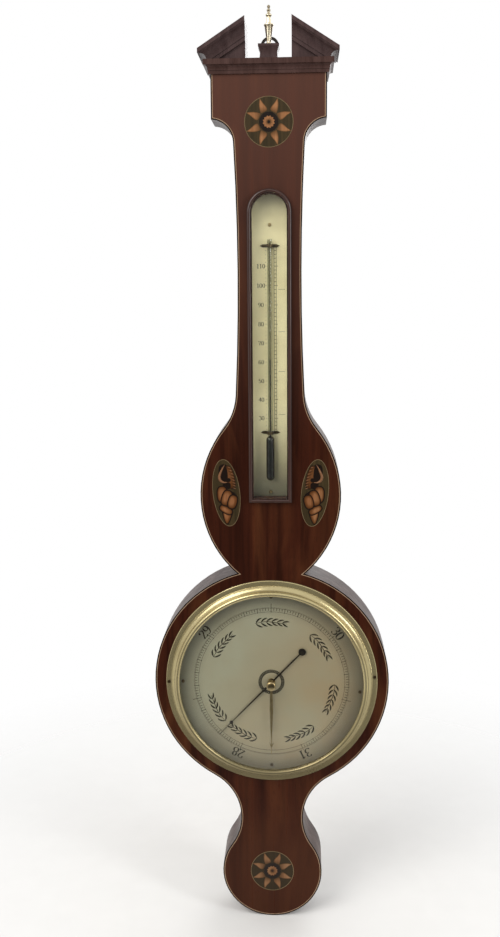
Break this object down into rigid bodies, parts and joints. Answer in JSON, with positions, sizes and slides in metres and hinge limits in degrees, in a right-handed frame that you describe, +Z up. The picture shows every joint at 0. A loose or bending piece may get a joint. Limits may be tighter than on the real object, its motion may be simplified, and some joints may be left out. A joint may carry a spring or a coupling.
{
  "type": "wheel barometer",
  "caption": "Wall-hung banjo wheel barometer: veneered wood case, broken pediment, boxed thermometer, brass bezel, turning hands and a float-and-pulley siphon behind a hinged back door.",
  "frame": {"origin": "centre of the hanging eye, on the wall plane at the back of the hanging plate", "axes": "+X to the viewer's right, +Z up along the tube, +Y back into the wall; the dial faces -Y"},
  "size_m": [0.246, 0.0604, 0.9442],
  "materials": {
    "mahogany": "waxed mahogany, darker on the sides and back",
    "veneer": "polished red-brown mahogany veneer",
    "dark_wood": "ebonised edge banding",
    "boxwood": "pale boxwood line",
    "green_inlay": "green-stained inlay ground",
    "petal_inlay": "scorched pale wood inlay",
    "pediment_wood": "dark polished mahogany moulding",
    "brass": "lacquered cast brass",
    "silvered": "silvered brass plate with engraved and waxed scales",
    "blued_steel": "blued steel",
    "steel": "polished steel",
    "iron": "blacked iron",
    "mercury": "liquid mercury",
    "silk": "waxed silk",
    "glass": "clear glass"
  },
  "bodies": {
    "case": {"case_carcass": "mahogany", "front_veneer": "veneer", "edge_banding": "dark_wood", "edge_stringing": "boxwood", "inlay_grounds": "green_inlay", "inlay_borders": "boxwood", "flower_petals": "petal_inlay", "flower_centres": "boxwood", "shell_whorls": "petal_inlay", "cornice": "pediment_wood", "left_tympanum": "pediment_wood", "right_tympanum": "pediment_wood", "left_crown": "pediment_wood", "right_crown": "pediment_wood", "finial_plinth": "pediment_wood", "brass_finial": "brass", "thermo_scale": "silvered", "thermo_tube": "glass", "thermo_mercury": "mercury", "thermo_clips": "brass", "thermo_pins": "brass", "thermo_glass": "glass", "thermo_frame": "pediment_wood", "dial_plate": "silvered", "dial_screws": "brass", "bezel": "brass", "bezel_screws": "brass", "bezel_glass": "glass", "glass_ring": "brass", "glass_bush": "brass", "arbor_bush": "brass", "pivot_cock": "brass", "siphon_tube": "glass", "mercury_column": "mercury", "guide_tube": "glass", "tube_cradles": "boxwood", "tube_wedges": "boxwood", "siphon_block": "boxwood", "channel_covers": "mahogany", "case_hinge_leaves": "brass", "hinge_pins": "steel", "hanging_plate": "iron", "case_screws": "brass"},
    "hand": {"indicator_hand": "blued_steel", "hand_collet": "brass", "hand_arbor": "steel", "pulley": "brass", "thread_turns": "silk"},
    "float": {"float": "glass", "float_thread": "silk", "mercury_surface": "mercury"},
    "counterweight": {"counterweight": "brass", "counterweight_thread": "silk"},
    "set_hand": {"set_hand": "brass", "set_arbor": "brass", "set_knob": "brass"},
    "door": {"back_door": "mahogany", "door_hinge_leaves": "brass", "door_screws": "brass"}
  },
  "joints": [
    {"name": "hand_turn", "type": "hinge", "parent": "case", "child": "hand", "pos_m": [0, -0.018, -0.641], "axis": [0, 1, 0], "range_deg": [-19, 293]},
    {"name": "float_slide", "type": "slide", "parent": "case", "child": "float", "axis": [0, 0, 1], "range_m": [-0.0362, 0.0027], "deforming": ["float_thread", "mercury_surface"]},
    {"name": "counterweight_slide", "type": "slide", "parent": "case", "child": "counterweight", "axis": [0, 0, 1], "range_m": [-0.0027, 0.0362], "deforming": ["counterweight_thread"]},
    {"name": "set_turn", "type": "hinge", "parent": "case", "child": "set_hand", "pos_m": [0, -0.05, -0.641], "axis": [0, 1, 0], "continuous": true},
    {"name": "door_swing", "type": "hinge", "parent": "case", "child": "door", "pos_m": [-0.0273, -0.0016, -0.667], "axis": [0, 0, 1], "range_deg": [0, 95]}
  ],
  "couplings": [
    {"joint": "float_slide", "follows": "hand_turn", "m_per_rad": -0.007},
    {"joint": "counterweight_slide", "follows": "hand_turn", "m_per_rad": 0.007}
  ]
}
